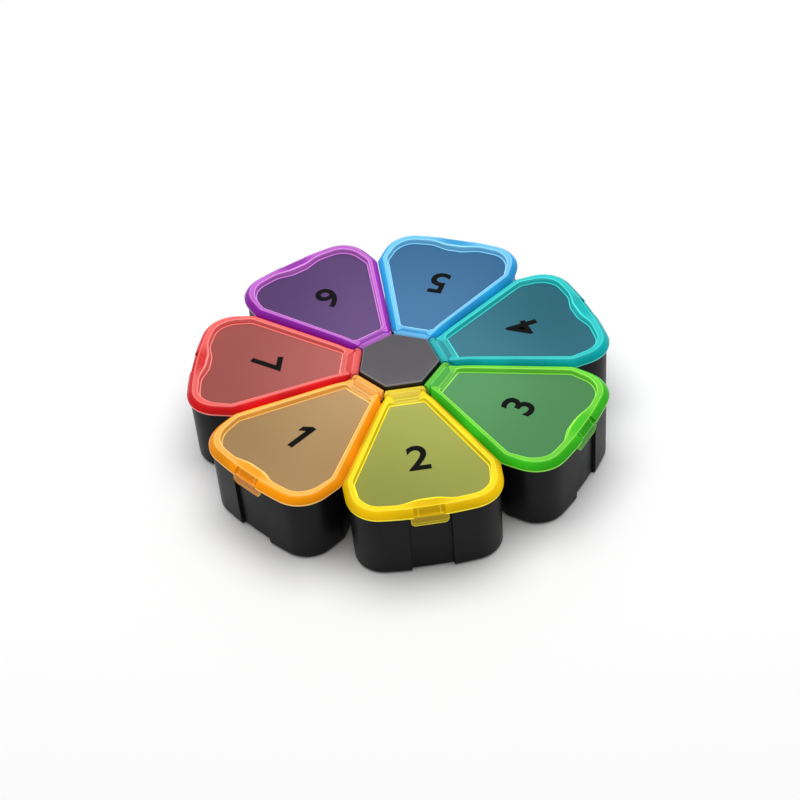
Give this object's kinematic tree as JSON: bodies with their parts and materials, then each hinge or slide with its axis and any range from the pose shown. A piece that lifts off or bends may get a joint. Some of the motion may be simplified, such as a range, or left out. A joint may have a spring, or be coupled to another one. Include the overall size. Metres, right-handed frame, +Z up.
{
  "type": "weekly pill box",
  "caption": "Flower-shaped weekly pill box: petal-shaped black pods plugged round a faceted hub, each with a hinged see-through coloured lid and a thumb tab.",
  "frame": {"origin": "on the hub's axis, at the level of the table under the hub", "axes": "+Z up along the hub's axis; the yellow lid's pod lies along -Y"},
  "size_m": [0.1236, 0.1226, 0.0243],
  "materials": {
    "hub": "black moulded plastic",
    "hub_cap": "fine satin, dark grey",
    "pod": "satin black moulded plastic",
    "hinge_pin": "drawn wire",
    "lid_orange": "see-through orange moulded plastic",
    "lid_yellow": "see-through yellow moulded plastic",
    "lid_green": "see-through green moulded plastic",
    "lid_teal": "see-through teal moulded plastic",
    "lid_blue": "see-through blue moulded plastic",
    "lid_purple": "see-through purple moulded plastic",
    "lid_red": "see-through red moulded plastic"
  },
  "bodies": {
    "hub": {"hub": "hub", "hub_cap": "hub_cap"},
    "pod_1": {"pod_1": "pod", "hinge_pin_1": "hinge_pin"},
    "lid_1": {"lid_1": "lid_orange"},
    "pod_2": {"pod_2": "pod", "hinge_pin_2": "hinge_pin"},
    "lid_2": {"lid_2": "lid_yellow"},
    "pod_3": {"pod_3": "pod", "hinge_pin_3": "hinge_pin"},
    "lid_3": {"lid_3": "lid_green"},
    "pod_4": {"pod_4": "pod", "hinge_pin_4": "hinge_pin"},
    "lid_4": {"lid_4": "lid_teal"},
    "pod_5": {"pod_5": "pod", "hinge_pin_5": "hinge_pin"},
    "lid_5": {"lid_5": "lid_blue"},
    "pod_6": {"pod_6": "pod", "hinge_pin_6": "hinge_pin"},
    "lid_6": {"lid_6": "lid_purple"},
    "pod_7": {"pod_7": "pod", "hinge_pin_7": "hinge_pin"},
    "lid_7": {"lid_7": "lid_red"}
  },
  "joints": [
    {"name": "pod_1_pull", "type": "slide", "parent": "hub", "child": "pod_1", "axis": [-0.7818, -0.6235, 0], "range_m": [0, 0.052]},
    {"name": "pod_2_pull", "type": "slide", "parent": "hub", "child": "pod_2", "axis": [0, -1, 0], "range_m": [0, 0.052]},
    {"name": "pod_3_pull", "type": "slide", "parent": "hub", "child": "pod_3", "axis": [0.7818, -0.6235, 0], "range_m": [0, 0.052]},
    {"name": "pod_4_pull", "type": "slide", "parent": "hub", "child": "pod_4", "axis": [0.9749, 0.2225, 0], "range_m": [0, 0.052]},
    {"name": "pod_5_pull", "type": "slide", "parent": "hub", "child": "pod_5", "axis": [0.4339, 0.901, 0], "range_m": [0, 0.052]},
    {"name": "pod_6_pull", "type": "slide", "parent": "hub", "child": "pod_6", "axis": [-0.4339, 0.901, 0], "range_m": [0, 0.052]},
    {"name": "pod_7_pull", "type": "slide", "parent": "hub", "child": "pod_7", "axis": [-0.9749, 0.2225, 0], "range_m": [0, 0.052]},
    {"name": "lid_1_hinge", "type": "hinge", "parent": "pod_1", "child": "lid_1", "pos_m": [-0.00962, -0.00767, 0.02245], "axis": [-0.6235, 0.7818, 0], "range_deg": [0, 110]},
    {"name": "lid_2_hinge", "type": "hinge", "parent": "pod_2", "child": "lid_2", "pos_m": [0, -0.0123, 0.02245], "axis": [-1, 0, 0], "range_deg": [0, 110]},
    {"name": "lid_3_hinge", "type": "hinge", "parent": "pod_3", "child": "lid_3", "pos_m": [0.00962, -0.00767, 0.02245], "axis": [-0.6235, -0.7818, 0], "range_deg": [0, 110]},
    {"name": "lid_4_hinge", "type": "hinge", "parent": "pod_4", "child": "lid_4", "pos_m": [0.01199, 0.00274, 0.02245], "axis": [0.2225, -0.9749, 0], "range_deg": [0, 110]},
    {"name": "lid_5_hinge", "type": "hinge", "parent": "pod_5", "child": "lid_5", "pos_m": [0.00534, 0.01108, 0.02245], "axis": [0.901, -0.4339, 0], "range_deg": [0, 110]},
    {"name": "lid_6_hinge", "type": "hinge", "parent": "pod_6", "child": "lid_6", "pos_m": [-0.00534, 0.01108, 0.02245], "axis": [0.901, 0.4339, 0], "range_deg": [0, 110]},
    {"name": "lid_7_hinge", "type": "hinge", "parent": "pod_7", "child": "lid_7", "pos_m": [-0.01199, 0.00274, 0.02245], "axis": [0.2225, 0.9749, 0], "range_deg": [0, 110]}
  ]
}
